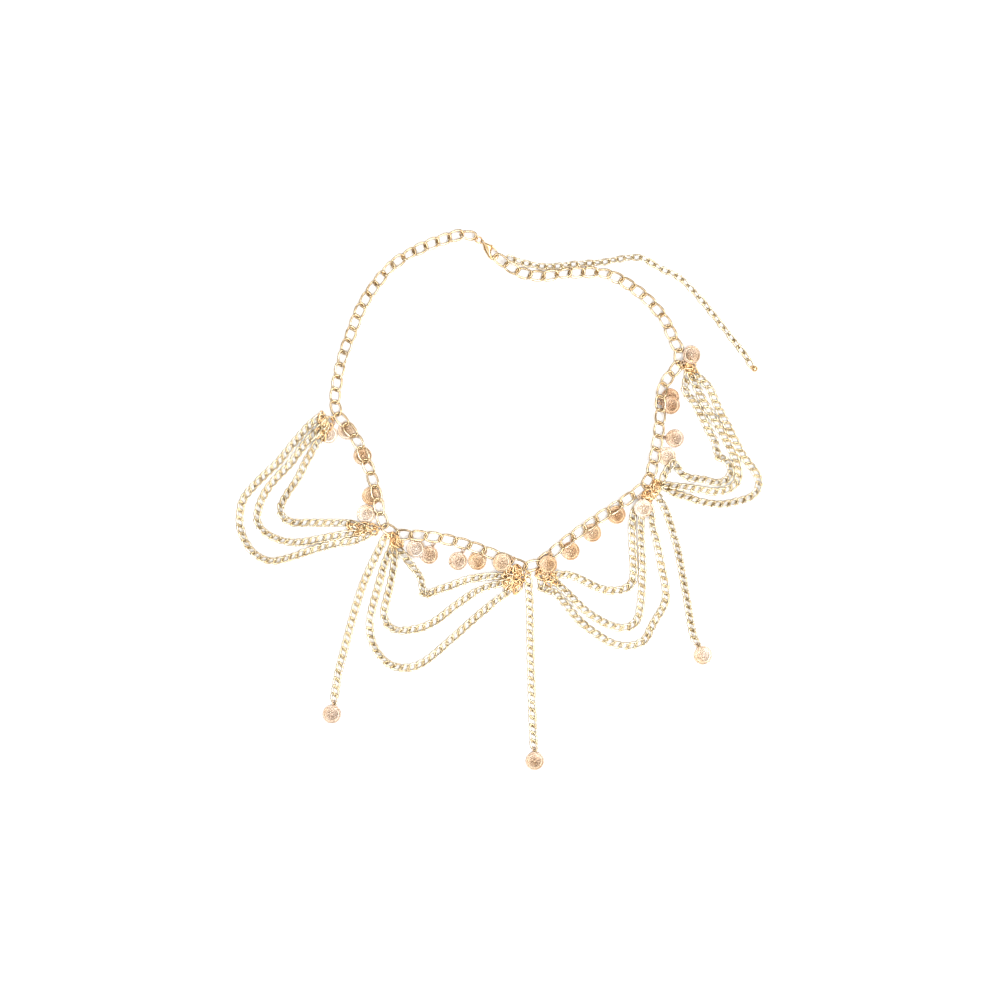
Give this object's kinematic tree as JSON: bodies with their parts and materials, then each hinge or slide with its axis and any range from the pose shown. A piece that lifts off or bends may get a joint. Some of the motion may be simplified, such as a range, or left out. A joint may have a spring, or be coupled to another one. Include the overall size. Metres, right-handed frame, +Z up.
{
  "type": "coin and chain waist belt",
  "caption": "Gold-plated waist belt laid flat: an open-link chain loop with draped fine-chain swags, small coins, hanging tassel chains, and a clasp with an extension chain.",
  "frame": {"origin": "middle of the outline, on the floor plane that the belt lies on", "axes": "+X to the wearer's left as it lies with its front towards -Y, +Y from the tassels to the clasp, +Z up off the floor"},
  "size_m": [0.3678, 0.3792, 0.0057],
  "materials": {
    "chain_gold": "polished light gold plating on the link wire, clasp and rings",
    "coin_gold": "satin light gold plating on the stamped coins"
  },
  "bodies": {
    "root": {"belt_rear_left": "chain_gold", "belt_front_left": "chain_gold", "belt_front_centre_left": "chain_gold", "belt_front_centre_right": "chain_gold", "belt_front_right": "chain_gold", "belt_rear_right": "chain_gold", "swag_left_outer": "chain_gold", "swag_left_middle": "chain_gold", "swag_left_inner": "chain_gold", "swag_centre_left_inner": "chain_gold", "swag_centre_left_middle": "chain_gold", "swag_centre_left_outer": "chain_gold", "swag_centre_right_inner": "chain_gold", "swag_centre_right_middle": "chain_gold", "swag_centre_right_outer": "chain_gold", "swag_right_outer": "chain_gold", "swag_right_middle": "chain_gold", "swag_right_inner": "chain_gold", "tassel_left": "chain_gold", "tassel_centre": "chain_gold", "tassel_right": "chain_gold", "extension_chain": "chain_gold", "coin_left_1": "coin_gold", "coin_left_2": "coin_gold", "coin_left_3": "coin_gold", "coin_left_4": "coin_gold", "coin_left_5": "coin_gold", "coin_centre_left_1": "coin_gold", "coin_centre_left_2": "coin_gold", "coin_centre_left_3": "coin_gold", "coin_centre_left_4": "coin_gold", "coin_centre_left_5": "coin_gold", "coin_centre_right_1": "coin_gold", "coin_centre_right_2": "coin_gold", "coin_centre_right_3": "coin_gold", "coin_centre_right_4": "coin_gold", "coin_centre_right_5": "coin_gold", "coin_right_1": "coin_gold", "coin_right_2": "coin_gold", "coin_right_3": "coin_gold", "coin_right_4": "coin_gold", "coin_right_5": "coin_gold", "coin_tassel_left": "coin_gold", "coin_tassel_centre": "coin_gold", "coin_tassel_right": "coin_gold", "ring_left_rear": "chain_gold", "ring_left_front": "chain_gold", "ring_tassel_left": "chain_gold", "ring_centre_left_start": "chain_gold", "ring_centre_left_end": "chain_gold", "ring_tassel_centre": "chain_gold", "ring_centre_right_start": "chain_gold", "ring_centre_right_end": "chain_gold", "ring_tassel_right": "chain_gold", "ring_right_end": "chain_gold", "ring_right_start": "chain_gold", "ring_clasp": "chain_gold", "clasp_body": "chain_gold", "clasp_trigger": "chain_gold", "end_drop": "chain_gold"}
  },
  "joints": []
}
